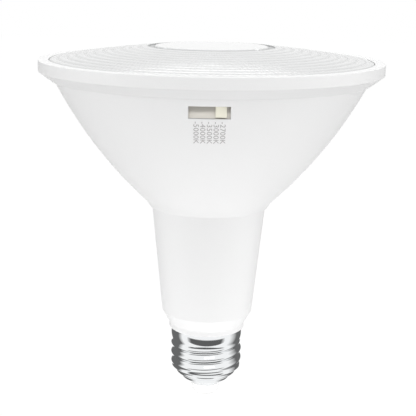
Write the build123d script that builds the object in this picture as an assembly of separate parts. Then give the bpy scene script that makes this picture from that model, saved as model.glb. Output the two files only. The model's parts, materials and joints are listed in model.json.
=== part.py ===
from build123d import *
import math
import os

# LED reflector lamp with a screw cap, a ribbed front lens and a colour switch in its side.
# Sizes are in millimetres. The origin is the tip of the centre contact, +Z points from the
# cap to the lens, and the switch faces -Y.

# Screw cap
cap_h = 26.6             # contact tip to the lower edge of the collar
thread_d = 26.2          # over the crests of the screw thread
thread_top = 22.4        # height of the thread's upper end
thread_foot = 12.2       # height of the thread's lower end
band_d = 25.4            # smooth band above the thread
shell_bore_d = 23.8
shell_end_d = 11.8       # lower end of the shell
shell_end_z = 4.3
shell_end_t = 0.7        # sheet at the shell's lower end
shell_end_bulge = 0.9    # how far the shell's end stands out from a straight cone, halfway up it
shell_in_collar = 4.0    # length of the band inside the collar
spigot_d = 10.2          # insulator where it passes through the shell's end
spigot_h = 2.4
insulator_tip_d = 9.4
contact_d = 8.8
contact_flat_d = 5.2
contact_h = 0.9

# Housing
collar_d = 27.7
collar_h = 1.9
collar_slope_h = 4.8
neck_bottom_d = 33.1
neck_top_d = 41.0
neck_h = 39.6
neck_wall = 2.2
web_t = 3.4              # floor between the neck and the cap
cone_h = 46.0
cone_bulge = 2.7         # how far the cone's side stands out from a straight line
cone_bands = 4           # straight bands that the cone's side is made of
cone_wall = 2.5
ledge_w = 2.6            # ledge that the LED board rests on
rim_step = 0.65          # shoulder outside the rim that the front ring goes over
rim_wall = 2.4
rib_t = 1.2              # guide ribs for the driver board
rib_reach = 1.6          # how far the ribs lap over the board's edges
rib_h = 30.0

# Front ring and lens
ring_d = 121.0
ring_wall_h = 3.8
ring_slope_h = 2.5
ring_slope_w = 4.1
ring_lap = 1.0           # ring's foot beyond the top of the cone
ring_top_w = 3.7         # width of the ring's top face
lens_recess = 0.9        # lens edge below the ring's top
lens_edge_t = 2.4
lens_seat_w = 3.0        # flat under the lens's edge
lens_wall = 2.6
lens_flat_d = 48.0       # flat in the middle of the lens's underside
crown_r = 243.0          # radius of the dome
ribs_inner_d = 44.4      # where the rings of the lens begin
rib_rings = 11
rib_rise = 0.4
disc_d = 39.0            # smooth centre disc
groove_t = 0.5           # depth of the groove round the disc

# LED board and what it carries
led_board_t = 1.6
led_board_z = 109.6
led_size = (3.5, 2.8, 0.8)
led_radii = (12.0, 24.0)
led_counts = (8, 16)
connector_size = (8.0, 5.0, 3.4)
lead_cutout = (6.0, 2.6)
output_lead_w = 1.0      # square pins
output_lead_gap = 3.6    # between the two output leads

# Slide switch
slot_w = 13.0
slot_h = 4.35
slot_over_board = 0.4    # lower edge of the slot above the LED board's top
switch_x = -0.4          # middle of the slider's travel
switch_w = 13.8
switch_h = 4.9
switch_sheet = 0.35
positions = 5
position_step = 2.0
knob_w = 3.5
knob_h = 3.5
knob_reach = 3.9         # knob in front of the frame
arm_w = 2.2              # arm that carries the knob over the frame's upper edge
arm_t = 0.6
carriage_w = 4.6
carriage_h = 3.4
carriage_t = 1.5
wiper_w = 3.6
wiper_h = 2.6
wiper_sheet = 0.25
wiper_tab_w = 0.8
wiper_tab_t = 0.5
terminal_w = 0.9
terminal_t = 0.25
terminal_h = 2.9
common_h = 0.7
base_t = 1.6

# Driver
board_t = 1.6
board_h = 50.0
board_side_gap = 0.8     # board's edge to the neck's wall, at the floor
capacitor_d = 9.0
capacitor_h = 16.0
film_size = (9.0, 5.0, 8.0)
core_size = (10.5, 6.0, 12.0)
core_leg = 1.9
core_middle = 3.2
winding_over = 1.5       # winding beyond the core's faces
rectifier_size = (5.0, 2.4, 4.7)
chip_size = (4.9, 1.6, 3.9)
fuse_d = 3.2
fuse_w = 9.0
varistor_d = 7.0
varistor_t = 3.0
cap_lead = (2.0, 0.6)    # strip from the driver to the cap, width and thickness
shell_lead_h = 8.0       # length of the shell's lead below the floor

# Places on the driver board: sideways from the axis, and up from the board's lower edge
fuse_at = (0.0, 5.0)
varistor_at = (0.0, 12.0)
film_at = (0.0, 21.0)
capacitor_at = (-5.6, 37.0)
transformer_at = (5.4, 37.0)
rectifier_at = (0.0, 14.0)
chip_at = (0.0, 26.0)

# Clearances
seat_gap = 0.2           # round pieces that sit one in another
slide_gap = 0.2          # round the moving slider
fit_gap = 0.1            # pieces that fit together without moving
solder_gap = 0.3         # lead to the shell's inside

# Heights and radii worked out from the sizes above
neck_bottom_z = cap_h + collar_h + collar_slope_h
neck_top_z = neck_bottom_z + neck_h
cone_top_z = neck_top_z + cone_h
ring_top_z = cone_top_z + ring_slope_h + ring_wall_h
lens_edge_z = ring_top_z - lens_recess
lens_seat_z = lens_edge_z - lens_edge_t
shell_top_z = cap_h + shell_in_collar
floor_z = shell_top_z + web_t
led_top_z = led_board_z + led_board_t
lens_r = ring_d / 2 - ring_top_w - seat_gap
cone_top_d = ring_d - 2 * (ring_slope_w + ring_lap)
rim_r = cone_top_d / 2 - rim_step
travel = (positions - 1) * position_step
rest_x = switch_x + travel / 2
slot_z = led_top_z + slot_over_board

LOW_Y = (Align.CENTER, Align.MIN, Align.CENTER)
HIGH_Y = (Align.CENTER, Align.MAX, Align.CENTER)
LOW_YZ = (Align.CENTER, Align.MIN, Align.MIN)
HIGH_Y_LOW_Z = (Align.CENTER, Align.MAX, Align.MIN)
LOW_Z = (Align.CENTER, Align.CENTER, Align.MIN)


def cone_radius(z):
    """Outer radius of the cone at a height, from its two ends and its bulge."""
    low = (neck_top_d / 2, neck_top_z)
    high = (cone_top_d / 2, cone_top_z)
    chord = math.dist(low, high)
    arc_r = (chord ** 2 / 4 + cone_bulge ** 2) / (2 * cone_bulge)
    back = arc_r - cone_bulge
    middle_r = (low[0] + high[0]) / 2
    middle_z = (low[1] + high[1]) / 2
    centre_r = middle_r - back * (high[1] - low[1]) / chord
    centre_z = middle_z + back * (high[0] - low[0]) / chord
    return centre_r + math.sqrt(arc_r ** 2 - (z - centre_z) ** 2)


def crown_z(r):
    """Height of the lens's dome at a radius."""
    return lens_edge_z + math.sqrt(crown_r ** 2 - r ** 2) - math.sqrt(crown_r ** 2 - lens_r ** 2)


def inner_radius(z):
    """Radius of the housing's inner wall above the LED board's ledge."""
    low_r = cone_radius(led_board_z) - cone_wall
    share = (z - led_board_z) / (lens_seat_z - led_board_z)
    return low_r + share * (rim_r - rim_wall - low_r)


def turned(outline):
    """Solid turned about Z from a closed outline in radius and height."""
    return revolve(Plane.XZ * make_face(outline), Axis.Z)


def ring_of_points(*points):
    """Closed outline of straight lines."""
    return Polyline(*points, close=True)


# Place of the switch's front face: as far out as its lower corners can go
corner_x = switch_w / 2 + abs(switch_x)
switch_y = -(math.sqrt(inner_radius(led_top_z) ** 2 - corner_x ** 2) - solder_gap)
carriage_y = switch_y + switch_sheet + slide_gap
wiper_y = carriage_y + carriage_t
arm_y = carriage_y + carriage_t / 2
terminal_y = wiper_y + wiper_sheet + wiper_tab_t + fit_gap
base_y = terminal_y + terminal_t
knob_z = slot_z + slot_h / 2


def front_lens():
    """Dome of ridged rings round a smooth disc, with a flat seat under its edge."""
    inner_r = ribs_inner_d / 2
    pitch = (lens_r - inner_r) / rib_rings
    groove_z = crown_z(inner_r) - groove_t
    seat_r = lens_r - lens_seat_w
    flat_r = lens_flat_d / 2
    under_z = crown_z(flat_r) - lens_wall
    disc_z = crown_z(inner_r)
    points = [(0, disc_z), (disc_d / 2, disc_z), (disc_d / 2 + groove_t, groove_z), (inner_r, groove_z)]
    for ring in range(rib_rings):
        crest = inner_r + (ring + 0.5) * pitch
        valley = inner_r + (ring + 1) * pitch
        points.append((crest, crown_z(crest) + rib_rise / 2))
        points.append((valley, crown_z(valley) - rib_rise / 2))
    points += [(lens_r, lens_seat_z), (seat_r, lens_seat_z), (flat_r, under_z), (0, under_z)]
    return turned(ring_of_points(*points))


def front_ring():
    """Ring with a pocket for the lens and a sloping underside that seats on the housing."""
    outer_r = ring_d / 2
    pocket_r = outer_r - ring_top_w
    bore_r = rim_r + seat_gap
    slope_z = ring_top_z - ring_wall_h
    return turned(ring_of_points(
        (outer_r, ring_top_z),
        (outer_r, slope_z),
        (outer_r - ring_slope_w, cone_top_z),
        (bore_r, cone_top_z),
        (bore_r, lens_seat_z),
        (pocket_r, lens_seat_z),
        (pocket_r, ring_top_z),
    ))


def housing_outside():
    """Outer form of the housing, with no cavity."""
    heights = [neck_top_z + cone_h * band / cone_bands for band in range(cone_bands + 1)]
    return turned(ring_of_points(
        (0, cap_h),
        (collar_d / 2, cap_h),
        (collar_d / 2, cap_h + collar_h),
        (neck_bottom_d / 2, neck_bottom_z),
        *[(cone_radius(z), z) for z in heights],
        (rim_r, cone_top_z),
        (rim_r, lens_seat_z),
        (0, lens_seat_z),
    ))


def housing_cavity():
    """Space inside the housing: socket for the cap, neck, cone and seat for the LED board."""
    socket_r = band_d / 2 + fit_gap
    hole_r = shell_bore_d / 2 - fit_gap
    ledge_r = cone_radius(led_board_z) - cone_wall
    return turned(ring_of_points(
        (0, cap_h),
        (socket_r, cap_h),
        (socket_r, shell_top_z),
        (hole_r, shell_top_z),
        (hole_r, floor_z),
        (neck_inner_radius(floor_z), floor_z),
        (neck_inner_radius(neck_top_z), neck_top_z),
        (ledge_r - ledge_w, led_board_z),
        (ledge_r, led_board_z),
        (rim_r - rim_wall, lens_seat_z),
        (0, lens_seat_z),
    ))


def neck_inner_radius(z):
    """Radius of the neck's inner wall at a height."""
    share = (z - neck_bottom_z) / neck_h
    return neck_bottom_d / 2 + share * (neck_top_d - neck_bottom_d) / 2 - neck_wall


def board_width():
    """Width of the driver board, from the neck's room at the floor."""
    return 2 * (neck_inner_radius(floor_z) - board_side_gap)


def guide_ribs():
    """Four ribs that hold the driver board's edges, longer than the neck is wide."""
    inner_x = board_width() / 2 - rib_reach
    length = neck_top_d
    ribs = []
    for side in (-1, 1):
        for face in (-1, 1):
            x = side * (inner_x + length / 2)
            y = face * (board_t / 2 + fit_gap + rib_t / 2)
            ribs.append(Pos(x, y, floor_z) * Box(length, rib_t, rib_h, align=LOW_Z))
    return ribs


def housing():
    """Cone and neck in one moulding, with guide ribs and the slot for the switch."""
    outside = housing_outside()
    body = outside - housing_cavity()
    for rib in guide_ribs():
        body += rib & outside
    slot = Pos(0, -inner_radius(slot_z) / 2, slot_z) * Box(
        slot_w, cone_top_d, slot_h, align=HIGH_Y_LOW_Z
    )
    return body - slot


def screw_shell():
    """Screw cap with a smooth band above the thread and an end that closes in two slopes."""
    hole_r = spigot_d / 2 + fit_gap
    middle_r = (shell_end_d + thread_d) / 4 + shell_end_bulge
    return turned(ring_of_points(
        (shell_end_d / 2, shell_end_z),
        (middle_r, (shell_end_z + thread_foot) / 2),
        (thread_d / 2, thread_foot),
        (thread_d / 2, thread_top),
        (band_d / 2, thread_top),
        (band_d / 2, shell_top_z),
        (shell_bore_d / 2, shell_top_z),
        (shell_bore_d / 2, thread_foot),
        (hole_r, shell_end_z + shell_end_t),
        (hole_r, shell_end_z),
    ))


def base_insulator():
    """White insulator: a tapered foot under the shell and a spigot through its end."""
    width, thickness = cap_lead
    body = turned(ring_of_points(
        (0, contact_h),
        (insulator_tip_d / 2, contact_h),
        (shell_end_d / 2, shell_end_z),
        (spigot_d / 2, shell_end_z),
        (spigot_d / 2, shell_end_z + spigot_h),
        (0, shell_end_z + spigot_h),
    ))
    return body - Box(width + 2 * fit_gap, thickness + 2 * fit_gap, 2 * (shell_end_z + spigot_h))


def centre_contact():
    """Contact button with a flat tip."""
    return turned(ring_of_points(
        (0, 0), (contact_flat_d / 2, 0), (contact_d / 2, contact_h), (0, contact_h)
    ))


def contact_lead():
    """Lead from the centre contact up to the driver board's lower edge."""
    return Pos(0, 0, contact_h) * Box(*cap_lead, floor_z - contact_h, align=LOW_Z)


def shell_lead():
    """Lead from the driver board down along the shell's inside."""
    width, thickness = cap_lead
    outer_x = math.sqrt((shell_bore_d / 2 - solder_gap) ** 2 - width ** 2 / 4)
    low_z = floor_z - web_t - shell_lead_h
    strip = Box(thickness, width, floor_z - low_z, align=LOW_Z)
    return Pos(outer_x - thickness / 2, 0, low_z) * strip


def led_board():
    """Round board with a cut-out in the middle for the output leads."""
    radius = cone_radius(led_board_z) - cone_wall - seat_gap
    disc = Pos(0, 0, led_board_z) * Cylinder(radius, led_board_t, align=LOW_Z)
    return disc - Pos(0, 0, led_board_z) * Box(*lead_cutout, led_board_t, align=LOW_Z)


def led_emitters():
    """Light-emitting packages in circles on the LED board."""
    package = Box(*led_size, align=LOW_Z)
    places = []
    for radius, count in zip(led_radii, led_counts):
        places += PolarLocations(radius, count)
    return [Pos(0, 0, led_top_z) * place * package for place in places]


def led_connector():
    """Socket over the cut-out, with two openings for the leads' contacts."""
    width, depth, height = connector_size
    opening = (width - output_lead_gap) / 2
    body = Pos(0, 0, led_top_z) * Box(width, depth, height, align=LOW_Z)
    for side in (-1, 1):
        x = side * output_lead_gap / 2
        body -= Pos(x, 0, led_top_z + height) * Box(opening, depth / 2, height, align=Align.CENTER)
    return body


def output_leads():
    """Two pins from the driver board's upper edge to the connector."""
    low_z = floor_z + board_h
    lead = Box(output_lead_w, output_lead_w, led_top_z - low_z, align=LOW_Z)
    return [Pos(side * output_lead_gap / 2, 0, low_z) * lead for side in (-1, 1)]


def driver_board():
    """Upright circuit board that stands on the neck's floor."""
    return Pos(0, 0, floor_z) * Box(board_width(), board_t, board_h, align=LOW_Z)


def on_board(place, face, gap=0.0):
    """Location on one face of the driver board, with Y as the way out of the face."""
    x, up = place
    return Pos(x, face * (board_t / 2 + gap), floor_z + up)


def bulk_capacitor():
    """Upright can on the board's rear face."""
    radius = capacitor_d / 2
    return on_board(capacitor_at, 1, fit_gap + radius) * Cylinder(radius, capacitor_h)


def film_capacitor():
    """Boxed capacitor with its upper edges chamfered."""
    body = Box(*film_size, align=LOW_Y)
    edges = body.faces().sort_by(Axis.Y)[-1].edges()
    return on_board(film_at, 1) * chamfer(edges, film_size[1] / 8)


def winding_depth():
    """Depth of the transformer's winding, front to back."""
    return core_size[1] + 2 * winding_over


def core_window():
    """Width and height of each window in the transformer's core."""
    width, depth, height = core_size
    return (width - core_middle) / 2 - core_leg, height - 2 * core_leg


def transformer_core():
    """Core with a middle leg and two windows."""
    window_w, window_h = core_window()
    core = Box(*core_size)
    for side in (-1, 1):
        x = side * (core_middle + window_w) / 2
        core -= Pos(x, 0, 0) * Box(window_w, core_size[1], window_h)
    return on_board(transformer_at, 1, winding_depth() / 2) * core


def transformer_winding():
    """Winding round the core's middle leg, resting on the board."""
    window_w, window_h = core_window()
    width = core_middle + 2 * (window_w - fit_gap)
    height = window_h - 2 * fit_gap
    hole = Box(core_middle + 2 * fit_gap, core_size[1] + 2 * fit_gap, height)
    return on_board(transformer_at, 1, winding_depth() / 2) * (Box(width, winding_depth(), height) - hole)


def bridge_rectifier():
    """Rectifier package on the board's front face."""
    return on_board(rectifier_at, -1) * Box(*rectifier_size, align=HIGH_Y)


def controller_chip():
    """Driver's control chip on the board's front face."""
    return on_board(chip_at, -1) * Box(*chip_size, align=HIGH_Y)


def fuse_resistor():
    """Round resistor that lies across the board."""
    radius = fuse_d / 2
    return on_board(fuse_at, 1, fit_gap + radius) * Rot(0, 90, 0) * Cylinder(radius, fuse_w)


def varistor():
    """Disc that stands on its edge on the board."""
    radius = varistor_d / 2
    return on_board(varistor_at, 1, fit_gap + radius) * Rot(0, 90, 0) * Cylinder(radius, varistor_t)


def switch_frame():
    """Folded steel cover, open at the back and below, with a slot in its top for the arm."""
    depth = base_y + base_t - switch_y
    outer = Pos(switch_x, switch_y, led_top_z) * Box(switch_w, depth, switch_h, align=LOW_YZ)
    inner = Pos(switch_x, switch_y + switch_sheet, led_top_z) * Box(
        switch_w - 2 * switch_sheet, depth, switch_h - switch_sheet, align=LOW_YZ
    )
    arm_slot = Pos(switch_x, arm_y, led_top_z + switch_h) * Box(
        travel + arm_w + 2 * slide_gap, arm_t + 2 * slide_gap, 2 * switch_sheet
    )
    return outer - inner - arm_slot


def switch_base():
    """Moulded back of the switch, inside the frame."""
    width = switch_w - 2 * switch_sheet - 2 * fit_gap
    height = switch_h - switch_sheet - fit_gap
    return Pos(switch_x, base_y, led_top_z) * Box(width, base_t, height, align=LOW_YZ)


def switch_terminals():
    """Strips on the face of the base, one for each position, and a common strip above them."""
    strip = Box(terminal_w, terminal_t, terminal_h, align=LOW_YZ)
    strips = []
    for number in range(positions):
        x = switch_x - travel / 2 + number * position_step
        strips.append(Pos(x, terminal_y, led_top_z) * strip)
    common = Box(travel + terminal_w, terminal_t, common_h, align=LOW_YZ)
    common_z = led_top_z + terminal_h + solder_gap
    return strips + [Pos(switch_x, terminal_y, common_z) * common]


def switch_slider():
    """Knob, arm and carriage in one moulding, at the end of its travel."""
    knob_y = switch_y - slide_gap
    over_z = led_top_z + switch_h + slide_gap
    knob = Box(knob_w, knob_reach - slide_gap, knob_h, align=HIGH_Y)
    carriage = Box(carriage_w, carriage_t, carriage_h, align=LOW_Y)
    riser = Box(arm_w, arm_t, over_z + arm_t - knob_z, align=HIGH_Y_LOW_Z)
    bridge = Box(arm_w, arm_y + arm_t / 2 - knob_y, arm_t, align=LOW_YZ)
    drop = Box(arm_w, arm_t, over_z + arm_t - knob_z, align=LOW_Z)
    slider = Pos(rest_x, knob_y, knob_z) * (knob + riser)
    slider += Pos(rest_x, knob_y, over_z) * bridge
    slider += Pos(rest_x, arm_y, knob_z) * drop
    return slider + Pos(rest_x, carriage_y, knob_z) * carriage


def switch_wiper():
    """Contact spring on the carriage's back, with two tabs that reach to the strips."""
    plate = Pos(rest_x, wiper_y, knob_z) * Box(wiper_w, wiper_sheet, wiper_h, align=LOW_Y)
    tab_y = wiper_y + wiper_sheet
    for up in (-1, 1):
        z = knob_z + up * (wiper_h - wiper_tab_w) / 2
        plate += Pos(rest_x, tab_y, z) * Box(wiper_tab_w, wiper_tab_t, wiper_tab_w, align=LOW_Y)
    return plate


PIECES = (
    front_lens, front_ring, housing, led_board, led_emitters, led_connector, output_leads,
    driver_board, bulk_capacitor, film_capacitor, transformer_core, transformer_winding,
    bridge_rectifier, controller_chip, fuse_resistor, varistor, shell_lead, contact_lead,
    screw_shell, base_insulator, centre_contact, switch_frame, switch_base, switch_terminals,
    switch_slider, switch_wiper,
)


def write_pieces():
    """Write each piece, or group of like pieces, to a file of its own."""
    os.makedirs("parts", exist_ok=True)
    for piece in PIECES:
        shape = piece()
        if isinstance(shape, list):
            shape = Compound(children=[Part(item.wrapped) for item in shape])
        export_step(shape, os.path.join("parts", piece.__name__ + ".step"))


write_pieces()
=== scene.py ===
"""Studio scene of an LED reflector lamp with a colour switch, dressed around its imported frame.

Lengths are in metres. The tip of the lamp's contact is at the origin, +Z points from the screw cap
to the lens, and the switch faces -Y.
"""

import json
import logging
import math
from collections.abc import Iterable, Sequence
from dataclasses import dataclass, field, replace
from enum import Enum
from functools import cache

import bmesh
import bpy
from mathutils import Matrix, Vector


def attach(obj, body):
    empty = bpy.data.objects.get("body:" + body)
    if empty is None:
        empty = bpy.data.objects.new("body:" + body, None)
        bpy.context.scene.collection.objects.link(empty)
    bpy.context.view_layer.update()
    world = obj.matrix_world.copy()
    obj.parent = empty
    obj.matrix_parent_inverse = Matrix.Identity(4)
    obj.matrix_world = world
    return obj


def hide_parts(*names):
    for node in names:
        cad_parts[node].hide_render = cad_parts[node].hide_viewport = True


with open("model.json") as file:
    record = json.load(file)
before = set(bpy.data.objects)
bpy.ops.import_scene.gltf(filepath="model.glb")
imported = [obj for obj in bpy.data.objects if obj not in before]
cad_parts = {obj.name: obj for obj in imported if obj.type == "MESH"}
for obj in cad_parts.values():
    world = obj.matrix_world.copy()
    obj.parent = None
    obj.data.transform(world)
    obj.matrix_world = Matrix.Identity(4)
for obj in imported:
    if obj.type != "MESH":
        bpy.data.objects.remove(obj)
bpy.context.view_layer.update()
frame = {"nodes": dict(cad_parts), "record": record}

log = logging.getLogger("lamp")

MM = 0.001
TURN = 2 * math.pi
LAMP = "lamp"
SLIDER = "slider"
# Share of a turn, counted from +X, at which -Y lies
FRONT = -0.25

Point = tuple[float, float]
Colour = tuple[float, float, float]
Place = tuple[float, float, float]


class Grain(Enum):
    """Way that a finish's fine pattern runs, as its scale along X, Y and Z."""

    EVEN = (1.0, 1.0, 1.0)
    BRUSHED_X = (0.04, 1.0, 1.0)
    TURNED = (0.15, 0.15, 1.0)


@dataclass(frozen=True)
class Finish:
    """Surface finish whose colour, gloss and relief wander a little with a fine grain.

    The grain's size and relief are in metres, and drift is the share by which the colour wanders.
    Where a painted shade attribute is named, the colour goes over to the painted shade colour as
    that level falls from 1 to 0, and the gloss goes over to the frost's roughness between the two
    frost levels.
    """

    name: str
    colour: Colour
    roughness: float
    metallic: float = 0.0
    grain: Grain = Grain.EVEN
    grain_size: float = 0.5 * MM
    grain_detail: float = 4.0
    relief: float = 0.004 * MM
    drift: float = 0.015
    gloss_drift: float = 0.05
    painted_shade_attribute: str = ""
    painted_shade_colour: Colour = (0.0, 0.0, 0.0)
    frost_roughness: float = 0.6
    frost_levels: Point = (0.0, 0.5)

    def shades(self) -> tuple[Colour, Colour]:
        """Darkest and lightest shade of the colour."""
        dark = tuple(channel * (1 - self.drift) for channel in self.colour)
        light = tuple(min(1.0, channel * (1 + self.drift)) for channel in self.colour)
        return dark, light

    def material(self) -> bpy.types.Material:
        """Node material of this finish, made once."""
        return material_of(self)


@cache
def material_of(finish: Finish) -> bpy.types.Material:
    """Build the node material of a finish.

    Args:
        finish: The finish to build.

    Returns:
        The material, with its grain on Object coordinates.
    """
    material = bpy.data.materials.new(finish.name)
    material.use_nodes = True
    nodes = material.node_tree.nodes
    link = material.node_tree.links.new
    shader = nodes["Principled BSDF"]
    shader.inputs["Metallic"].default_value = finish.metallic

    place = nodes.new("ShaderNodeTexCoord")
    mapping = nodes.new("ShaderNodeMapping")
    mapping.inputs["Scale"].default_value = finish.grain.value
    link(place.outputs["Object"], mapping.inputs["Vector"])

    noise = nodes.new("ShaderNodeTexNoise")
    noise.inputs["Scale"].default_value = 1 / finish.grain_size
    noise.inputs["Detail"].default_value = finish.grain_detail
    link(mapping.outputs["Vector"], noise.inputs["Vector"])

    ramp = nodes.new("ShaderNodeValToRGB")
    for stop, shade in zip(ramp.color_ramp.elements, finish.shades()):
        stop.color = (*shade, 1.0)
    link(noise.outputs["Fac"], ramp.inputs["Fac"])
    colour = ramp.outputs["Color"]
    # Painted shade: the colour darkens to the painted shade colour where the attribute falls towards 0
    if finish.painted_shade_attribute:
        height = nodes.new("ShaderNodeAttribute")
        height.attribute_name = finish.painted_shade_attribute
        tint = nodes.new("ShaderNodeMix")
        tint.data_type = "RGBA"
        tint.inputs["A"].default_value = (*finish.painted_shade_colour, 1.0)
        link(height.outputs["Fac"], tint.inputs["Factor"])
        link(colour, tint.inputs["B"])
        colour = tint.outputs["Result"]
    link(colour, shader.inputs["Base Color"])

    gloss = nodes.new("ShaderNodeMapRange")
    gloss.inputs["To Min"].default_value = finish.roughness - finish.gloss_drift
    gloss.inputs["To Max"].default_value = finish.roughness + finish.gloss_drift
    link(noise.outputs["Fac"], gloss.inputs["Value"])
    roughness = gloss.outputs["Result"]
    if finish.painted_shade_attribute:
        frost = nodes.new("ShaderNodeMapRange")
        frost.inputs["From Min"].default_value = finish.frost_levels[0]
        frost.inputs["From Max"].default_value = finish.frost_levels[1]
        frost.inputs["To Min"].default_value = finish.frost_roughness
        link(height.outputs["Fac"], frost.inputs["Value"])
        link(roughness, frost.inputs["To Max"])
        roughness = frost.outputs["Result"]
    link(roughness, shader.inputs["Roughness"])

    bump = nodes.new("ShaderNodeBump")
    bump.inputs["Distance"].default_value = finish.relief
    link(noise.outputs["Fac"], bump.inputs["Height"])
    link(bump.outputs["Normal"], shader.inputs["Normal"])
    return material


# Finishes, by the record's names of the material slots
FINISHES: dict[str, Finish] = {
    finish.name: finish
    for finish in (
        # The lens's attribute paints shade into its groove and ring creases, and sets the lenslets
        # darker than the disc
        Finish(
            "lens",
            (0.8, 0.805, 0.805),
            0.12,
            grain_size=0.8 * MM,
            relief=0.002 * MM,
            painted_shade_attribute="lens_painted_shade",
            painted_shade_colour=(0.46, 0.465, 0.465),
        ),
        Finish("white_moulding", (0.86, 0.86, 0.86), 0.45),
        Finish("board_metal", (0.85, 0.86, 0.86), 0.5, grain_size=0.3 * MM),
        Finish("phosphor", (0.90, 0.78, 0.30), 0.25, grain_size=0.15 * MM, drift=0.06),
        Finish("white_nylon", (0.85, 0.85, 0.82), 0.5),
        Finish("tinned_metal", (0.72, 0.72, 0.70), 0.35, 1.0, grain_size=0.2 * MM),
        Finish("board_laminate", (0.12, 0.32, 0.18), 0.4, grain_size=0.4 * MM, drift=0.12),
        Finish("capacitor_can", (0.12, 0.12, 0.14), 0.35, drift=0.05),
        Finish("yellow_case", (0.80, 0.68, 0.20), 0.4, drift=0.03),
        Finish("ferrite", (0.14, 0.14, 0.15), 0.7, grain_size=0.2 * MM, drift=0.15),
        Finish("copper", (0.72, 0.42, 0.22), 0.3, 1.0, Grain.BRUSHED_X, drift=0.05),
        Finish("black_case", (0.05, 0.05, 0.055), 0.5, grain_size=0.2 * MM, drift=0.1),
        Finish("green_case", (0.20, 0.42, 0.30), 0.35, drift=0.05),
        Finish("blue_case", (0.10, 0.22, 0.50), 0.3, drift=0.05),
        Finish(
            "nickel_plate",
            (0.88, 0.895, 0.905),
            0.06,
            metallic=1.0,
            grain=Grain.TURNED,
            grain_size=0.6 * MM,
            gloss_drift=0.03,
        ),
        Finish("white_insulator", (0.94, 0.94, 0.935), 0.3),
        Finish("contact_metal", (0.92, 0.91, 0.88), 0.3, 1.0, grain_size=0.3 * MM, drift=0.04),
        Finish("switch_steel", (0.75, 0.72, 0.66), 0.3, 1.0, Grain.BRUSHED_X, 0.12 * MM, drift=0.03),
        Finish("cream_moulding", (0.97, 0.945, 0.80), 0.4, grain_size=0.3 * MM),
    )
}
# The ring's underside carries painted shade: its colour is darker than its wall's
RING_WITH_PAINTED_SHADE = replace(
    FINISHES["white_moulding"],
    name="white_ring_painted_shade",
    painted_shade_attribute="ring_painted_shade",
    painted_shade_colour=(0.78, 0.78, 0.78),
)
# The scale printed on the housing has no slot of its own
INK = Finish("scale_ink", (0.42, 0.40, 0.405), 0.6, grain_size=0.15 * MM, drift=0.06)


@dataclass(frozen=True)
class Corner:
    """Corner of a turned outline: its radius and height, and the radius that rounds it off."""

    r: float
    z: float
    fillet: float = 0.0

    def at(self) -> Vector:
        """Corner as a vector in radius and height."""
        return Vector((self.r, self.z))


@dataclass(frozen=True)
class BulgedSide:
    """Side of a turned piece that stands out in an arc from the straight line between its ends."""

    low: Point
    high: Point
    bulge: float

    def radius(self, z: float) -> float:
        """Radius of the side at a height.

        Args:
            z: Height between the two ends.

        Returns:
            The radius there.
        """
        chord = math.dist(self.low, self.high)
        arc_r = (chord**2 / 4 + self.bulge**2) / (2 * self.bulge)
        back = arc_r - self.bulge
        centre_r = (self.low[0] + self.high[0]) / 2 - back * (self.high[1] - self.low[1]) / chord
        centre_z = (self.low[1] + self.high[1]) / 2 + back * (self.high[0] - self.low[0]) / chord
        return centre_r + math.sqrt(arc_r**2 - (z - centre_z) ** 2)


def spread(low: float, high: float, steps: int) -> list[float]:
    """Evenly spaced values from low to high, one more than there are steps."""
    return [low + (high - low) * step / steps for step in range(steps + 1)]


FILLET_STEPS = 4
FILLET_SUPPORT = 0.12 * MM


def rounded(corners: Sequence[Corner]) -> list[Point]:
    """Round off the corners of a closed outline.

    A point a little beyond each end of a fillet keeps the flats beside it flat when shaded.

    Args:
        corners: Corners in order, with their fillets.

    Returns:
        Points of the outline, in order.
    """
    points: list[Point] = []
    for index, corner in enumerate(corners):
        here = corner.at()
        if corner.fillet == 0:
            points.append(tuple(here))
            continue
        back = (corners[index - 1].at() - here).normalized()
        ahead = (corners[(index + 1) % len(corners)].at() - here).normalized()
        half = back.angle(ahead) / 2
        reach = corner.fillet / math.tan(half)
        centre = here + (back + ahead).normalized() * (corner.fillet / math.sin(half))
        start = (here + back * reach - centre).normalized()
        end = (here + ahead * reach - centre).normalized()
        points.append(tuple(here + back * (reach + FILLET_SUPPORT)))
        for share in spread(0, 1, FILLET_STEPS):
            spoke = start.slerp(end, share).normalized()
            points.append(tuple(centre + spoke * corner.fillet))
        points.append(tuple(here + ahead * (reach + FILLET_SUPPORT)))
    return points


def lathe(
    shape: bmesh.types.BMesh, outline: Sequence[Point], columns: int, closed: bool = True
) -> list[list[bmesh.types.BMVert]]:
    """Turn an outline about Z, with its first column towards -Y.

    Args:
        shape: Mesh that takes the faces.
        outline: Points in radius and height. A point on the axis becomes a pole.
        columns: Number of faces round the axis.
        closed: Whether the last point joins the first.

    Returns:
        One ring of vertices for each point.
    """
    rings = []
    for r, z in outline:
        count = columns if r > 0 else 1
        angles = [TURN * (column / columns + FRONT) for column in range(count)]
        rings.append([shape.verts.new((r * math.cos(a), r * math.sin(a), z)) for a in angles])
    following = rings[1:] + rings[:1] if closed else rings[1:]
    for low, high in zip(rings, following):
        for column in range(columns):
            ends = (column, (column + 1) % columns)
            around = [low[end % len(low)] for end in ends]
            around += [high[end % len(high)] for end in reversed(ends)]
            corners = list(dict.fromkeys(around))
            if len(corners) > 2:
                shape.faces.new(corners)
    return rings


BEVEL_STEPS = 3
ROUND_PROFILE = 0.5


def round_edges(shape: bmesh.types.BMesh, edges: list[bmesh.types.BMEdge], width: float) -> None:
    """Round off edges of a mesh under construction.

    Args:
        shape: Mesh that has the edges.
        edges: The edges to round.
        width: How far from each edge the rounding starts.
    """
    bmesh.ops.bevel(
        shape,
        geom=edges,
        offset=width,
        segments=BEVEL_STEPS,
        profile=ROUND_PROFILE,
        affect="EDGES",
        clamp_overlap=True,
    )


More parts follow.
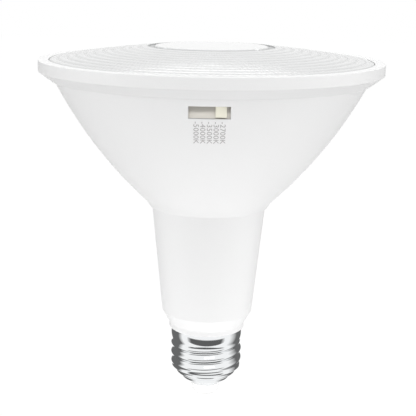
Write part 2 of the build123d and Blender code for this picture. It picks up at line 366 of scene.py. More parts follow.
def in_scene(name: str, data: bpy.types.ID) -> bpy.types.Object:
    """Put a new object into the scene.

    Args:
        name: Name of the object.
        data: Its mesh, curve, light or camera.

    Returns:
        The object, at the origin.
    """
    thing = bpy.data.objects.new(name, data)
    bpy.context.scene.collection.objects.link(thing)
    return thing


def plain_mesh(carrier: bpy.types.Object) -> bpy.types.Mesh:
    """Take an object's result as a plain mesh, and remove the object.

    Args:
        carrier: Object with text or a modifier.

    Returns:
        The mesh that it makes.
    """
    evaluated = carrier.evaluated_get(bpy.context.evaluated_depsgraph_get())
    mesh = bpy.data.meshes.new_from_object(evaluated)
    bpy.data.objects.remove(carrier)
    return mesh


WELD = 0.002 * MM
SHARP_ANGLE = math.radians(40)


def solid_of(node: str) -> bmesh.types.BMesh:
    """Copy of a node's solid for more work.

    Args:
        node: Name of the node.

    Returns:
        Its mesh, with the loose triangles joined.
    """
    shape = bmesh.new()
    shape.from_mesh(frame["nodes"][node].data)
    bmesh.ops.remove_doubles(shape, verts=shape.verts, dist=WELD)
    return shape


def add_piece(
    name: str,
    shape: bmesh.types.BMesh,
    finish: Finish,
    body: str,
    node: str = "",
    sharp_angle: float = SHARP_ANGLE,
) -> None:
    """Turn a mesh under construction into a finished piece at the origin, and report it.

    Args:
        name: Name of the piece.
        shape: Its mesh, which is freed.
        finish: Its finish.
        body: Body that it moves with.
        node: Node that it stands for, if any.
        sharp_angle: Angle between faces from which an edge shows sharp.
    """
    bmesh.ops.remove_doubles(shape, verts=shape.verts, dist=WELD)
    bmesh.ops.recalc_face_normals(shape, faces=shape.faces)
    mesh = bpy.data.meshes.new(name)
    shape.to_mesh(mesh)
    shape.free()
    mesh.shade_smooth()
    mesh.set_sharp_from_angle(angle=sharp_angle)
    mesh.materials.clear()
    mesh.materials.append(finish.material())
    piece = in_scene(name, mesh)
    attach(piece, body)
    if node:
        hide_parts(node)
    log.info("%s: %d faces, on %s", name, len(mesh.polygons), body)


class Number:
    """Number in a node tree. Arithmetic on it adds Math nodes to the tree."""

    def __init__(self, tree: bpy.types.NodeTree, socket: bpy.types.NodeSocket) -> None:
        """Wrap a node's output socket."""
        self.tree = tree
        self.socket = socket

    def fill(self, node: bpy.types.Node, values: Iterable["Number | float"]) -> None:
        """Link or set the first inputs of a node.

        Args:
            node: Node whose inputs are filled, in order.
            values: Numbers of the tree, or plain values.
        """
        for entry, value in zip(node.inputs, values):
            if isinstance(value, Number):
                self.tree.links.new(value.socket, entry)
            else:
                entry.default_value = value

    def reckon(self, operation: str, *others: "Number | float") -> "Number":
        """Result of a Math node.

        Args:
            operation: Blender's name of the operation.
            others: Second and third operand, where it has them.

        Returns:
            The node's result.
        """
        node = self.tree.nodes.new("ShaderNodeMath")
        node.operation = operation
        self.fill(node, (self, *others))
        return Number(self.tree, node.outputs[0])

    def eased(self, low: "Number | float", high: "Number | float") -> "Number":
        """Smooth step from 0 at low to 1 at high.

        Args:
            low: Value at which the step begins.
            high: Value at which it ends.

        Returns:
            The step.
        """
        node = self.tree.nodes.new("ShaderNodeMapRange")
        node.interpolation_type = "SMOOTHSTEP"
        self.fill(node, (self, low, high))
        return Number(self.tree, node.outputs[0])

    def __add__(self, other: "Number | float") -> "Number":
        """Sum."""
        return self.reckon("ADD", other)

    def __sub__(self, other: "Number | float") -> "Number":
        """Difference."""
        return self.reckon("SUBTRACT", other)

    def __mul__(self, other: "Number | float") -> "Number":
        """Product."""
        return self.reckon("MULTIPLY", other)

    def __truediv__(self, other: "Number | float") -> "Number":
        """Quotient."""
        return self.reckon("DIVIDE", other)

    def humps(self) -> "Number":
        """Round humps, one for each unit, that meet in creases."""
        return (self * math.pi).sine().reckon("ABSOLUTE")

    def sine(self) -> "Number":
        """Sine of an angle in radians."""
        return self.reckon("SINE")

    def cosine(self) -> "Number":
        """Cosine of an angle in radians."""
        return self.reckon("COSINE")

    def root(self) -> "Number":
        """Square root."""
        return self.reckon("SQRT")


# Side of the flat grid that a turned sheet starts from
GRID_SIDE = 1.0


class TurnedSheet:
    """Geometry Nodes tree that wraps a grid round the Z axis by a rule for its radius and height."""

    def __init__(self, name: str, columns: int, rows: int) -> None:
        """Start the tree with a flat grid.

        Args:
            name: Name of the tree.
            columns: Faces round the axis.
            rows: Faces along the sheet.
        """
        self.tree = bpy.data.node_groups.new(name, "GeometryNodeTree")
        self.tree.interface.new_socket("Geometry", in_out="OUTPUT", socket_type="NodeSocketGeometry")
        self.entry = self.tree.nodes.new("NodeGroupInput")
        self.settings: dict[str, float | int] = {}
        grid = self.tree.nodes.new("GeometryNodeMeshGrid")
        for axis, label, faces in (("X", "Columns", columns), ("Y", "Rows", rows)):
            grid.inputs[f"Size {axis}"].default_value = GRID_SIDE
            vertices = self.size(label, faces) + 1
            self.tree.links.new(vertices.socket, grid.inputs[f"Vertices {axis}"])
        self.sheet = grid.outputs["Mesh"]
        place = self.tree.nodes.new("GeometryNodeInputPosition")
        split = self.tree.nodes.new("ShaderNodeSeparateXYZ")
        self.tree.links.new(place.outputs[0], split.inputs[0])
        # The grid lies round the origin, so these shares run from 0 to 1
        self.around = Number(self.tree, split.outputs["X"]) + GRID_SIDE / 2
        self.along = Number(self.tree, split.outputs["Y"]) + GRID_SIDE / 2

    def size(self, name: str, value: float | int) -> Number:
        """Add a named input to the tree.

        Args:
            name: Name of the size.
            value: Value that the tree is run with.

        Returns:
            The input, for use in the rule.
        """
        kind = "NodeSocketInt" if isinstance(value, int) else "NodeSocketFloat"
        entry = self.tree.interface.new_socket(name, in_out="INPUT", socket_type=kind)
        self.settings[entry.identifier] = value
        return Number(self.tree, self.entry.outputs[name])

    def store(self, name: str, value: Number) -> None:
        """Keep a number of the rule on the sheet's points.

        Args:
            name: Name of the attribute.
            value: Number to keep.
        """
        keep = self.tree.nodes.new("GeometryNodeStoreNamedAttribute")
        keep.inputs["Name"].default_value = name
        self.tree.links.new(self.sheet, keep.inputs["Geometry"])
        self.tree.links.new(value.socket, keep.inputs["Value"])
        self.sheet = keep.outputs["Geometry"]

    def mesh(self, radius: Number, height: Number, finish: Finish) -> bpy.types.Mesh:
        """Close the tree with the rule and run it.

        Args:
            radius: Distance from the axis.
            height: Height along the axis.
            finish: Finish of the sheet.

        Returns:
            The sheet as a plain mesh.
        """
        tree = self.tree
        angle = self.around * TURN + FRONT * TURN
        join = tree.nodes.new("ShaderNodeCombineXYZ")
        radius.fill(join, (radius * angle.cosine(), radius * angle.sine(), height))
        move = tree.nodes.new("GeometryNodeSetPosition")
        tree.links.new(self.sheet, move.inputs["Geometry"])
        tree.links.new(join.outputs[0], move.inputs["Position"])
        realize = tree.nodes.new("GeometryNodeRealizeInstances")
        tree.links.new(move.outputs["Geometry"], realize.inputs["Geometry"])
        paint = tree.nodes.new("GeometryNodeSetMaterial")
        paint.inputs["Material"].default_value = finish.material()
        tree.links.new(realize.outputs["Geometry"], paint.inputs["Geometry"])
        out = tree.nodes.new("NodeGroupOutput")
        tree.links.new(paint.outputs["Geometry"], out.inputs["Geometry"])

        carrier = in_scene(tree.name, bpy.data.meshes.new(tree.name))
        modifier = carrier.modifiers.new(tree.name, "NODES")
        modifier.node_group = tree
        for identifier, value in self.settings.items():
            modifier[identifier] = value
        return plain_mesh(carrier)


# Factor that brings share * (1 - share) to 1 half-way
PARABOLA_PEAK = 4.0


@dataclass
class FrontLens:
    """Domed lens: rings of small lenslets round a smooth disc, over a flat seat."""

    rings: int = 11
    lenslets: int = 200
    columns_each: int = 4
    rows_each: int = 5
    crest: float = 0.16 * MM
    valley: float = 0.16 * MM
    cross_share: float = 0.25
    inner_share: float = 0.5
    lenslet_level: float = 0.77
    disc_level: float = 0.92
    # Painted shade: level of the groove, and the share of colour darkened in the ring creases
    painted_groove_level: float = 0.05
    crease_painted_shade: float = 0.62
    crease_angle: float = math.radians(15)
    inner_r: float = 22.2 * MM
    outer_r: float = 56.6 * MM
    inner_z: float = 129.78 * MM
    edge_z: float = 125.2 * MM
    bulge: float = 0.19 * MM
    disc_z: float = 129.98 * MM
    under_z: float = 127.2 * MM
    seat_z: float = 121.9 * MM
    seat_w: float = 3.0 * MM
    disc_r: float = 19.5 * MM
    disc_fillet: float = 0.25 * MM
    groove_depth: float = 0.6 * MM
    groove_slope_w: float = 0.5 * MM
    flat_r: float = 24.0 * MM

    def lenslet_mesh(self, finish: Finish) -> bpy.types.Mesh:
        """Dome of pillow-shaped lenslets that meet in creases.

        Args:
            finish: Finish of the lens.

        Returns:
            The dome between the groove and the edge.
        """
        sheet = TurnedSheet("lenslets", self.lenslets * self.columns_each, self.rings * self.rows_each)
        inner = sheet.size("Inner radius", self.inner_r)
        outer = sheet.size("Outer radius", self.outer_r)
        edge = sheet.size("Edge height", self.edge_z)
        slope = sheet.size("Rise to the disc", self.inner_z - self.edge_z)
        bulge = sheet.size("Bulge", self.bulge)
        valley = sheet.size("Valley depth", self.valley)
        rise = sheet.size("Crest height", self.crest) + valley
        inner_share = sheet.size("Share of the relief by the disc", self.inner_share)
        share = sheet.size("Share of the cross creases", self.cross_share)
        across = (sheet.around * sheet.size("Lenslets", self.lenslets)).humps().root()
        outward = (sheet.along * sheet.size("Rings", self.rings)).humps()
        pillow = outward * (across * share - share + 1.0)
        radius = inner + (outer - inner) * sheet.along
        inward = sheet.along * -1.0 + 1.0
        dome = slope * inward + bulge * sheet.along * inward * PARABOLA_PEAK
        relief = sheet.along * (inner_share * -1.0 + 1.0) + inner_share
        height = edge + dome + (rise * pillow - valley) * relief
        # Painted shade: the colour darkens into the creases between the rings of lenslets
        loss = sheet.size("Painted shade in the creases", self.crease_painted_shade)
        level = (outward * loss - loss + 1.0) * sheet.size("Shade of the lenslets", self.lenslet_level)
        sheet.store(finish.painted_shade_attribute, level)
        return sheet.mesh(radius, height, finish)

    def build(self) -> None:
        """Make the lens from its dome, its centre disc and its underside."""
        finish = FINISHES["lens"]
        columns = self.lenslets * self.columns_each
        groove_z = self.disc_z - self.groove_depth
        top = rounded([
            Corner(0.0, self.disc_z),
            Corner(self.disc_r, self.disc_z, self.disc_fillet),
            Corner(self.disc_r + self.groove_slope_w, groove_z),
            Corner(self.inner_r, groove_z),
            Corner(self.inner_r, self.inner_z - self.valley * self.inner_share),
        ])
        below = [
            (self.outer_r, self.edge_z - self.valley),
            (self.outer_r, self.seat_z),
            (self.outer_r - self.seat_w, self.seat_z),
            (self.flat_r, self.under_z),
            (0.0, self.under_z),
        ]
        shape = bmesh.new()
        shape.from_mesh(self.lenslet_mesh(finish))
        middle = lathe(shape, top, columns, closed=False)
        lathe(shape, below, columns, closed=False)
        level = shape.verts.layers.float[finish.painted_shade_attribute]
        # Painted shade: the groove round the disc is darkened, while the disc keeps most of its colour
        for ring in middle:
            for vert in ring:
                on_disc = vert.co.z > self.disc_z - self.disc_fillet
                vert[level] = self.disc_level if on_disc else self.painted_groove_level
        add_piece("lens", shape, finish, LAMP, "front_lens", self.crease_angle)


@dataclass
class FrontRing:
    """White ring round the lens, with a sloping underside darkened by painted shade and a skirt over the
    housing.
    """

    columns: int = 240
    outer_r: float = 60.48 * MM
    pocket_r: float = 56.8 * MM
    bore_r: float = 54.95 * MM
    foot_r: float = 56.1 * MM
    skirt_r: float = 55.5 * MM
    top_z: float = 125.2 * MM
    wall_z: float = 121.4 * MM
    seat_z: float = 121.9 * MM
    shoulder_z: float = 118.9 * MM
    foot_z: float = 118.1 * MM
    edge_fillet: float = 0.2 * MM
    lip_fillet: float = 0.1 * MM

    def build(self) -> None:
        """Turn the ring."""
        shape = bmesh.new()
        outline = rounded([
            Corner(self.outer_r, self.top_z, self.edge_fillet),
            Corner(self.outer_r, self.wall_z, self.edge_fillet),
            Corner(self.foot_r, self.foot_z, self.lip_fillet),
            Corner(self.skirt_r, self.foot_z),
            Corner(self.skirt_r, self.shoulder_z),
            Corner(self.bore_r, self.shoulder_z),
            Corner(self.bore_r, self.seat_z),
            Corner(self.pocket_r, self.seat_z),
            Corner(self.pocket_r, self.top_z, self.lip_fillet),
        ])
        # Painted shade: below the wall the ring takes the darker painted shade colour
        level = shape.verts.layers.float.new(RING_WITH_PAINTED_SHADE.painted_shade_attribute)
        for ring in lathe(shape, outline, self.columns):
            for vert in ring:
                vert[level] = float(vert.co.z > self.wall_z)
        add_piece("ring", shape, RING_WITH_PAINTED_SHADE, LAMP, "front_ring")


@dataclass
class Housing:
    """White moulding: collar, tapering neck and bulged cone, with the slot for the switch."""

    columns: int = 240
    cone_rows: int = 24
    socket_r: float = 12.8 * MM
    collar_r: float = 13.85 * MM
    collar_z: float = 26.6 * MM
    slope_z: float = 28.5 * MM
    neck_r: float = 16.55 * MM
    neck_z: float = 33.3 * MM
    joint_r: float = 20.5 * MM
    joint_z: float = 72.9 * MM
    joint_step: float = 0.45 * MM
    joint_fillet: float = 0.2 * MM
    cone_r: float = 55.4 * MM
    cone_z: float = 118.9 * MM
    cone_bulge: float = 2.7 * MM
    rim_r: float = 54.75 * MM
    rim_z: float = 121.9 * MM
    rim_wall: float = 2.4 * MM
    ledge_r: float = 47.84 * MM
    ledge_w: float = 2.6 * MM
    ledge_z: float = 109.6 * MM
    floor_z: float = 34.0 * MM
    cap_top_z: float = 30.6 * MM
    cap_hole_r: float = 11.8 * MM
    neck_wall: float = 2.2 * MM
    edge_fillet: float = 0.4 * MM
    slot_half_w: float = 6.5 * MM
    slot_low_z: float = 111.6 * MM
    slot_high_z: float = 115.65 * MM
    slot_rows: int = 3
    slot_columns: int = 5
    slot_bevel: float = 0.2 * MM
    sill_drop: float = 0.45 * MM
    cone: BulgedSide = field(init=False)

    def __post_init__(self) -> None:
        """Work out the cone's side."""
        self.cone = BulgedSide((self.joint_r, self.joint_z), (self.cone_r, self.cone_z), self.cone_bulge)

    def inner_r(self, z: float) -> float:
        """Radius of the inner wall above the ledge."""
        share = (z - self.ledge_z) / (self.rim_z - self.ledge_z)
        return self.ledge_r + share * (self.rim_r - self.rim_wall - self.ledge_r)

    def slot_heights(self) -> list[float]:
        """Heights of the rows that the slot is cut from."""
        return spread(self.slot_low_z, self.slot_high_z, self.slot_rows)

    def outline(self) -> list[Point]:
        """Closed outline of the moulding, outside first.

        Returns:
            Points in radius and height.
        """
        first_z = self.joint_z + self.joint_step
        below = spread(first_z, self.slot_low_z, self.cone_rows)[1:-1]
        above = (self.slot_high_z + self.cone_z) / 2
        heights = below + self.slot_heights() + [above]
        inner = reversed(self.slot_heights())
        return rounded([
            Corner(self.socket_r, self.collar_z),
            Corner(self.collar_r, self.collar_z, self.edge_fillet),
            Corner(self.collar_r, self.slope_z, self.edge_fillet),
            Corner(self.neck_r, self.neck_z, self.edge_fillet),
            Corner(self.joint_r, self.joint_z),
            Corner(self.cone.radius(first_z) + self.joint_step, self.joint_z, self.joint_fillet),
            *[Corner(self.cone.radius(z), z) for z in heights],
            Corner(self.cone_r, self.cone_z, self.joint_fillet),
            Corner(self.rim_r, self.cone_z),
            Corner(self.rim_r, self.rim_z),
            Corner(self.rim_r - self.rim_wall, self.rim_z),
            *[Corner(self.inner_r(z), z) for z in inner],
            Corner(self.ledge_r, self.ledge_z),
            Corner(self.ledge_r - self.ledge_w, self.ledge_z),
            Corner(self.joint_r - self.neck_wall, self.joint_z),
            Corner(self.neck_r - self.neck_wall, self.floor_z),
            Corner(self.cap_hole_r, self.floor_z),
            Corner(self.cap_hole_r, self.cap_top_z),
            Corner(self.socket_r, self.cap_top_z),
        ])

    def cut_slot(self, shape: bmesh.types.BMesh, rings: list[list[bmesh.types.BMVert]]) -> None:
        """Cut the slot through both walls, slope its sill inwards and break its outer edge.

        Args:
            shape: Mesh of the moulding.
            rings: Its rings of vertices, from the lathe.
        """
        heights = self.slot_heights()
        across = range(-self.slot_columns, self.slot_columns + 1)
        rows = [ring for ring in rings if any(abs(ring[0].co.z - z) < WELD for z in heights)]
        walls = (rows[: len(heights)], rows[len(heights) :])
        for wall, radius in zip(walls, (self.cone.radius, self.inner_r)):
            for ring in wall:
                r = radius(ring[0].co.z)
                for column in across:
                    point = ring[column].co
                    if abs(column) == self.slot_columns:
                        point.x = math.copysign(self.slot_half_w, column)
                    point.y = -math.sqrt(r**2 - point.x**2)
        sill = rows[-1]
        for column in across:
            sill[column].co.z -= self.sill_drop
        windows = [{ring[column] for ring in wall for column in across} for wall in walls]
        for window in windows:
            faces = [face for face in shape.faces if all(vert in window for vert in face.verts)]
            bmesh.ops.delete(shape, geom=faces, context="FACES")
        border = [edge for edge in shape.edges if edge.is_boundary]
        outer = [edge for edge in border if all(vert in windows[0] for vert in edge.verts)]
        bmesh.ops.bridge_loops(shape, edges=border)
        round_edges(shape, outer, self.slot_bevel)

    def build(self) -> None:
        """Turn the moulding and cut its slot."""
        shape = bmesh.new()
        rings = lathe(shape, self.outline(), self.columns)
        self.cut_slot(shape, rings)
        finish = FINISHES["white_moulding"]
        add_piece("housing_shell", shape, finish, LAMP, "housing")


@dataclass
class ScrewCap:
    """Nickel screw shell with a rolled thread, its insulator and its contact button."""

    columns: int = 192
    thread_rows: int = 110
    pitch: float = 25.4 * MM / 7
    crest_z: float = 14.6 * MM
    crest_rise: float = 0.4 * MM
    band_r: float = 12.7 * MM
    band_bulge: float = 0.38 * MM
    band_low_z: float = 22.0 * MM
    band_high_z: float = 26.5 * MM
    band_rows: int = 8
    thread_low_z: float = 11.3 * MM
    thread_fade: float = 2.2 * MM
    top_z: float = 30.6 * MM
    bore_r: float = 11.9 * MM
    bore_low_z: float = 12.2 * MM
    end_r: float = 5.5 * MM
    end_z: float = 4.3 * MM
    end_bulge: float = 0.5 * MM
    end_rows: int = 30
    end_beads: int = 3
    bead_rise: float = 0.28 * MM
    end_sheet: float = 0.7 * MM
    hole_r: float = 5.2 * MM
    foot_r: float = 4.7 * MM
    foot_z: float = 0.9 * MM
    foot_fillet: float = 0.8 * MM
    spigot_r: float = 5.1 * MM
    spigot_z: float = 6.7 * MM
    lead_hole_r: float = 1.2 * MM
    button_r: float = 4.4 * MM
    button_flat_r: float = 2.6 * MM
    button_fillet: float = 0.4 * MM

    def thread_mesh(self, finish: Finish) -> bpy.types.Mesh:
        """Rolled right-hand thread that fades out at both ends.

        Args:
            finish: Finish of the shell.

        Returns:
            The sheet between the band and the shell's end.
        """
        sheet = TurnedSheet("rolled_thread", self.columns, self.thread_rows)
        low = sheet.size("Lower end", self.thread_low_z)
        high = sheet.size("Upper end", self.band_low_z)
        fade = sheet.size("Fade", self.thread_fade)
        height = low + (high - low) * sheet.along
        lead = (height - sheet.size("Crest height", self.crest_z)) / sheet.size("Pitch", self.pitch)
        wave = ((lead - sheet.around - FRONT) * TURN).cosine()
        presence = height.eased(low, low + fade) * (height.eased(high - fade, high) * -1.0 + 1.0)
        middle = sheet.size("Radius", self.band_r)
        radius = middle + wave * presence * sheet.size("Crest rise", self.crest_rise)
        return sheet.mesh(radius, height, finish)

    def shell_outline(self) -> list[Point]:
        """Outline of the shell from the thread's top over the bore to the thread's foot.

        Returns:
            Points in radius and height, in order.
        """
        thread_top = (self.band_r, self.band_low_z)
        thread_foot = (self.band_r, self.thread_low_z)
        band = BulgedSide(thread_top, (self.band_r, self.band_high_z), self.band_bulge)
        end = BulgedSide((self.end_r, self.end_z), thread_foot, self.end_bulge)
        heights = spread(self.band_low_z, self.band_high_z, self.band_rows)
        outline = [(band.radius(z), z) for z in heights]
        outline += [
            (self.band_r, self.top_z),
            (self.bore_r, self.top_z),
            (self.bore_r, self.bore_low_z),
            (self.hole_r, self.end_z + self.end_sheet),
            (self.hole_r, self.end_z),
        ]
        for share in spread(0, 1, self.end_rows):
            z = self.end_z + share * (self.thread_low_z - self.end_z)
            bead = self.bead_rise * (math.cos(TURN * self.end_beads * share) - 1)
            outline.append((end.radius(z) + bead, z))
        return outline

    def build_shell(self) -> None:
        """Join the thread to the band and the end."""
        finish = FINISHES["nickel_plate"]
        shape = bmesh.new()
        shape.from_mesh(self.thread_mesh(finish))
        lathe(shape, self.shell_outline(), self.columns, closed=False)
        add_piece("cap_shell", shape, finish, LAMP, "screw_shell")

    def build_insulator(self) -> None:
        """Turn the insulator under the shell."""
        shape = bmesh.new()
        outline = rounded([
            Corner(self.lead_hole_r, self.foot_z),
            Corner(self.foot_r, self.foot_z, self.foot_fillet),
            Corner(self.end_r, self.end_z),
            Corner(self.spigot_r, self.end_z),
            Corner(self.spigot_r, self.spigot_z),
            Corner(self.lead_hole_r, self.spigot_z),
        ])
        lathe(shape, outline, self.columns)
        finish = FINISHES["white_insulator"]
        add_piece("insulator", shape, finish, LAMP, "base_insulator")

    def build_button(self) -> None:
        """Turn the contact button."""
        shape = bmesh.new()
        outline = rounded([
            Corner(0.0, 0.0),
            Corner(self.button_flat_r, 0.0, self.button_fillet),
            Corner(self.button_r, self.foot_z),
            Corner(0.0, self.foot_z),
        ])
        lathe(shape, outline, self.columns, closed=False)
        finish = FINISHES["contact_metal"]
        add_piece("contact_button", shape, finish, LAMP, "centre_contact")

    def build(self) -> None:
        """Make the shell, the insulator and the button."""
        self.build_shell()
        self.build_insulator()
        self.build_button()


@dataclass
class ColourSwitch:
    """Steel plate and sliding knob of the switch, and the scale that is printed under its slot."""

    housing: Housing
    upper_lean: float = math.radians(5.5)
    lower_lean: float = math.radians(16)
    fold_round: float = 0.25 * MM
    plate_rows: int = 20
    edge_round: float = 0.2 * MM
    flat_angle: float = math.radians(1)
    labels: tuple[str, ...] = ("-5000K", "-4000K", "-3500K", "-3000K", "-2700K")
    first_x: float = -4.16 * MM
    label_step: float = 2.07 * MM
    label_top_z: float = 110.7 * MM
    label_low_z: float = 103.6 * MM
    label_length: float = 8.4 * MM
    letter_size: float = 2.38 * MM
    letter_stretch: float = 1.3
    letter_steps: int = 3
    ink_t: float = 0.02 * MM

    def build_plate(self) -> None:
        """Fold the front of the frame's solid in a little along its length, as a pressed sheet."""
        shape = solid_of("switch_frame")
        front_y = min(vert.co.y for vert in shape.verts)
        low_z = min(vert.co.z for vert in shape.verts)
        high_z = max(vert.co.z for vert in shape.verts)
        for z in spread(low_z, high_z, self.plate_rows)[1:-1]:
            parts = [*shape.verts, *shape.edges, *shape.faces]
            bmesh.ops.bisect_plane(shape, geom=parts, plane_co=(0.0, 0.0, z), plane_no=(0.0, 0.0, 1.0))
        for vert in shape.verts:
            if vert.co.y < front_y + WELD:
                upper = (high_z - vert.co.z) * math.tan(self.upper_lean)
                lower = (vert.co.z - low_z) * math.tan(self.lower_lean)
                vert.co.y += (upper + lower - math.hypot(upper - lower, self.fold_round)) / 2
        finish = FINISHES["switch_steel"]
        add_piece("switch_plate", shape, finish, LAMP, "switch_frame")

    def build_knob(self) -> None:
        """Round the edges of the slider's solid."""
        shape = solid_of("switch_slider")
        bmesh.ops.dissolve_limit(
            shape, angle_limit=self.flat_angle, verts=shape.verts, edges=shape.edges
        )
        ridges = [edge for edge in shape.edges if edge.is_convex]
        round_edges(shape, ridges, self.edge_round)
        finish = FINISHES["cream_moulding"]
        add_piece("knob", shape, finish, SLIDER, "switch_slider")

    def letters(self, text: str) -> bpy.types.Mesh:
        """Flat mesh of a label, with its middle on the X axis.

        Args:
            text: The label.

        Returns:
            Its letters, in their own plane, with a little thickness.
        """
        curve = bpy.data.curves.new(text, "FONT")
        curve.body = text
        curve.size = self.letter_size
        curve.align_y = "CENTER"
        curve.extrude = self.ink_t
        curve.resolution_u = self.letter_steps
        return plain_mesh(in_scene(text, curve))

    def build_scale(self) -> None:
        """Print the labels on the cone, reading down from the slot."""
        shape = bmesh.new()
        slope = (self.label_top_z - self.label_low_z) / self.label_length
        for number, text in enumerate(self.labels):
            before = len(shape.verts)
            shape.from_mesh(self.letters(text))
            shape.verts.ensure_lookup_table()
            middle_x = self.first_x + number * self.label_step
            for vert in shape.verts[before:]:
                down, right, lift = vert.co
                z = self.label_top_z - down * slope * self.letter_stretch
                r = self.housing.cone.radius(z) + lift
                x = middle_x + right
                vert.co = (x, -math.sqrt(r**2 - x**2), z)
        add_piece("printed_scale", shape, INK, LAMP)

    def build(self) -> None:
        """Make the plate, the knob and the printed scale."""
        self.build_plate()
        self.build_knob()
        self.build_scale()


@dataclass(frozen=True)
class Flag:
    """Dark card beside the lamp that fades to white round its edge and shows only in reflections.

    It spans across and up from its corner, and fade is its border's width along those two.
    """

    name: str
    corner: Place
    across: Place
    up: Place
    shade: float
    fade: Point


@dataclass(frozen=True)
class SoftLamp:
    """Oblong soft lamp that faces the middle of the bulb, with its power in watts."""

    name: str
    place: Place
    size: Point
    power: float
    mirrored: bool = False


@dataclass
class Studio:
    """Pale floor, soft light and the camera."""

    floor_z: float = -150.0 * MM
    floor_half: float = 4.0
    floor_tone: float = 0.56
    floor_roughness: float = 0.9
    floor_shadow: float = 0.15
    floor_glow: float = 1.1
    fill: float = 0.765
    camera_back: float = 362.1 * MM
    camera_up: float = 157.2 * MM
    pitch: float = math.radians(13.51)
    yaw: float = math.radians(1.21)
    azimuth: float = math.radians(0.28)
    roll: float = math.radians(0.78)
    image_px: float = 416.0
    focal_px: float = 1021.8
    shift_px: Point = (20.5, 2.9)
    aim: Place = (0.0, 0.0, 0.07)
    lamps: tuple[SoftLamp, ...] = (
        SoftLamp("front_high", (0.1, -0.55, 0.9), (0.5, 0.5), 1.6, mirrored=True),
        SoftLamp("overhead", (0.0, 0.35, 1.1), (0.8, 0.8), 0.4),
        SoftLamp("strip_behind", (0.0, 0.71, 0.875), (2.0, 0.13), 3.3, mirrored=True),
        SoftLamp("left", (-0.9, -0.35, -0.02), (0.8, 0.8), 3.6),
        SoftLamp("right", (0.9, -0.35, -0.02), (0.8, 0.8), 3.85),
        SoftLamp("table_bounce", (0.0, -0.02, -0.08), (0.2, 0.2), 0.185),
    )
    flags: tuple[Flag, ...] = (
        Flag("flag_left", (-0.3, -0.05, -0.7), (0.0, 1.0, 0.0), (0.0, 0.0, 1.0), 0.15, (0.1, 0.1)),
        Flag("flag_right", (0.3, -0.05, -0.7), (0.0, 1.0, 0.0), (0.0, 0.0, 1.0), 0.15, (0.19, 0.19)),
        Flag("flag_front", (-1.2, -0.6, -0.6), (2.4, 0.0, 0.0), (0.0, 0.0, 0.6), 0.12, (0.5, 0.06)),
    )

    def white_to_the_eye(self, tree: bpy.types.NodeTree) -> bpy.types.NodeSocket:
        """Factor that is 1 for rays from the camera, from mirrors and through glass.

        Args:
            tree: Node tree of a material or the world.

        Returns:
            The factor's socket.
        """
        path = tree.nodes.new("ShaderNodeLightPath")
        kinds = ("Is Camera Ray", "Is Glossy Ray", "Is Transmission Ray")
        camera, mirror, glass = (Number(tree, path.outputs[kind]) for kind in kinds)
        return camera.reckon("MAXIMUM", mirror).reckon("MAXIMUM", glass).socket

    def build_world(self) -> None:
        """White surroundings, with a plain level of light on the lamp."""
        world = bpy.data.worlds.new("studio")
        world.use_nodes = True
        tree = world.node_tree
        background = tree.nodes["Background"]
        background.inputs["Color"].default_value = (1.0, 1.0, 1.0, 1.0)
        strength = tree.nodes.new("ShaderNodeMapRange")
        strength.inputs["To Min"].default_value = self.fill
        strength.inputs["To Max"].default_value = 1.0
        tree.links.new(self.white_to_the_eye(tree), strength.inputs["Value"])
        tree.links.new(strength.outputs["Result"], background.inputs["Strength"])
        bpy.context.scene.world = world

    def build_floor(self) -> None:
        """Pale floor that keeps the lamp's soft shadow."""
        half = self.floor_half
        tone = self.floor_tone
        mesh = bpy.data.meshes.new("floor")
        plan = ((-half, -half), (half, -half), (half, half), (-half, half))
        corners = [(x, y, self.floor_z) for x, y in plan]
        mesh.from_pydata(corners, [], [(0, 1, 2, 3)])
        material = bpy.data.materials.new("floor")
        material.use_nodes = True
        tree = material.node_tree
        paper = tree.nodes["Principled BSDF"]
        paper.inputs["Base Color"].default_value = (tone, tone, tone, 1.0)
        paper.inputs["Roughness"].default_value = self.floor_roughness
        glow = tree.nodes.new("ShaderNodeEmission")
        glow.inputs["Strength"].default_value = self.floor_glow
        blend = tree.nodes.new("ShaderNodeMixShader")
        share = tree.nodes.new("ShaderNodeMapRange")
        share.inputs["To Max"].default_value = 1 - self.floor_shadow
        tree.links.new(self.white_to_the_eye(tree), share.inputs["Value"])
        tree.links.new(share.outputs["Result"], blend.inputs["Fac"])
        tree.links.new(paper.outputs[0], blend.inputs[1])
        tree.links.new(glow.outputs[0], blend.inputs[2])
        tree.links.new(blend.outputs[0], tree.nodes["Material Output"].inputs["Surface"])
        mesh.materials.append(material)
        floor = in_scene("floor", mesh)
        floor.visible_glossy = False

    def build_flag(self, flag: Flag) -> None:
        """Hang a dark card that only reflections show.

        Args:
            flag: The card.
        """
        corner, across, up = (Vector(v) for v in (flag.corner, flag.across, flag.up))
        inset_u, inset_v = across.normalized() * flag.fade[0], up.normalized() * flag.fade[1]
        rim = [corner, corner + across, corner + across + up, corner + up]
        turns = ((1, 1), (-1, 1), (-1, -1), (1, -1))
        core = [point + inset_u * u + inset_v * v for point, (u, v) in zip(rim, turns)]
        border = [(side, (side + 1) % 4, (side + 1) % 4 + 4, side + 4) for side in range(4)]
        mesh = bpy.data.meshes.new(flag.name)
        mesh.from_pydata(rim + core, [], [(4, 5, 6, 7), *border])
        shades = mesh.attributes.new("shade", "FLOAT", "POINT")
        shades.data.foreach_set("value", [1.0] * len(rim) + [flag.shade] * len(core))
        material = bpy.data.materials.new(flag.name)
        material.use_nodes = True
        tree = material.node_tree
        glow = tree.nodes.new("ShaderNodeEmission")
        shade = tree.nodes.new("ShaderNodeAttribute")
        shade.attribute_name = shades.name
        tree.links.new(shade.outputs["Fac"], glow.inputs["Strength"])
        tree.links.new(glow.outputs[0], tree.nodes["Material Output"].inputs["Surface"])
        mesh.materials.append(material)
        card = in_scene(flag.name, mesh)
        card.visible_camera = False
        card.visible_diffuse = False
        card.visible_shadow = False
        card.visible_transmission = False

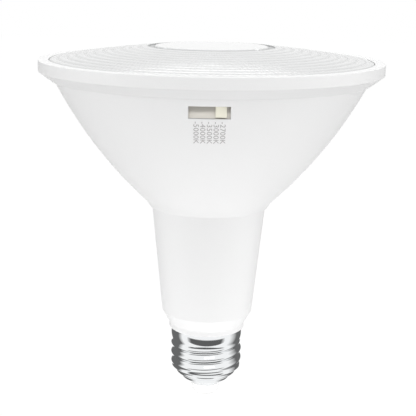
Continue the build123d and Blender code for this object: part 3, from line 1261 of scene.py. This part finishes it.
    def build_lamp(self, lamp: SoftLamp) -> None:
        """Hang one soft lamp.

        Args:
            lamp: The lamp.
        """
        data = bpy.data.lights.new(lamp.name, "AREA")
        data.shape = "RECTANGLE"
        data.size, data.size_y = lamp.size
        data.energy = lamp.power
        carrier = in_scene(lamp.name, data)
        carrier.location = lamp.place
        facing = Vector(self.aim) - carrier.location
        carrier.rotation_euler = facing.to_track_quat("-Z", "Y").to_euler()
        carrier.visible_camera = False
        carrier.visible_glossy = lamp.mirrored

    def build_camera(self) -> None:
        """Set the camera at the photograph's place."""
        data = bpy.data.cameras.new("camera")
        data.lens = data.sensor_width * self.focal_px / self.image_px
        data.shift_x, data.shift_y = (shift / self.image_px for shift in self.shift_px)
        camera = in_scene("camera", data)
        pan = Matrix.Rotation(self.yaw, 4, "Z")
        tilt = Matrix.Rotation(math.pi / 2 - self.pitch, 4, "X")
        lean = Matrix.Rotation(self.roll, 4, "Z")
        round_the_lamp = Matrix.Rotation(self.azimuth, 4, "Z")
        away = Matrix.Translation((0.0, -self.camera_back, self.camera_up))
        camera.matrix_world = round_the_lamp @ away @ pan @ tilt @ lean
        bpy.context.scene.camera = camera

    def build(self) -> None:
        """Set up the floor, the light and the camera."""
        bpy.context.scene.view_settings.view_transform = "Standard"
        self.build_world()
        self.build_floor()
        for lamp in self.lamps:
            self.build_lamp(lamp)
        for flag in self.flags:
            self.build_flag(flag)
        self.build_camera()


def dress_nodes() -> None:
    """Give every node of the frame the finish of its material slot."""
    for part in frame["record"]["subparts"]:
        node = frame["nodes"][part["node"]]
        node.data.materials.clear()
        node.data.materials.append(FINISHES[part["material_slot"]].material())
        log.info("%s: node in %s", part["node"], part["material_slot"])


def main() -> None:
    """Dress the frame, make the lamp's pieces and set up the studio."""
    logging.basicConfig(level=logging.INFO, format="%(name)s: %(message)s")
    dress_nodes()
    FrontLens().build()
    FrontRing().build()
    housing = Housing()
    housing.build()
    ScrewCap().build()
    ColourSwitch(housing).build()
    Studio().build()


if __name__ == "__main__":
    main()
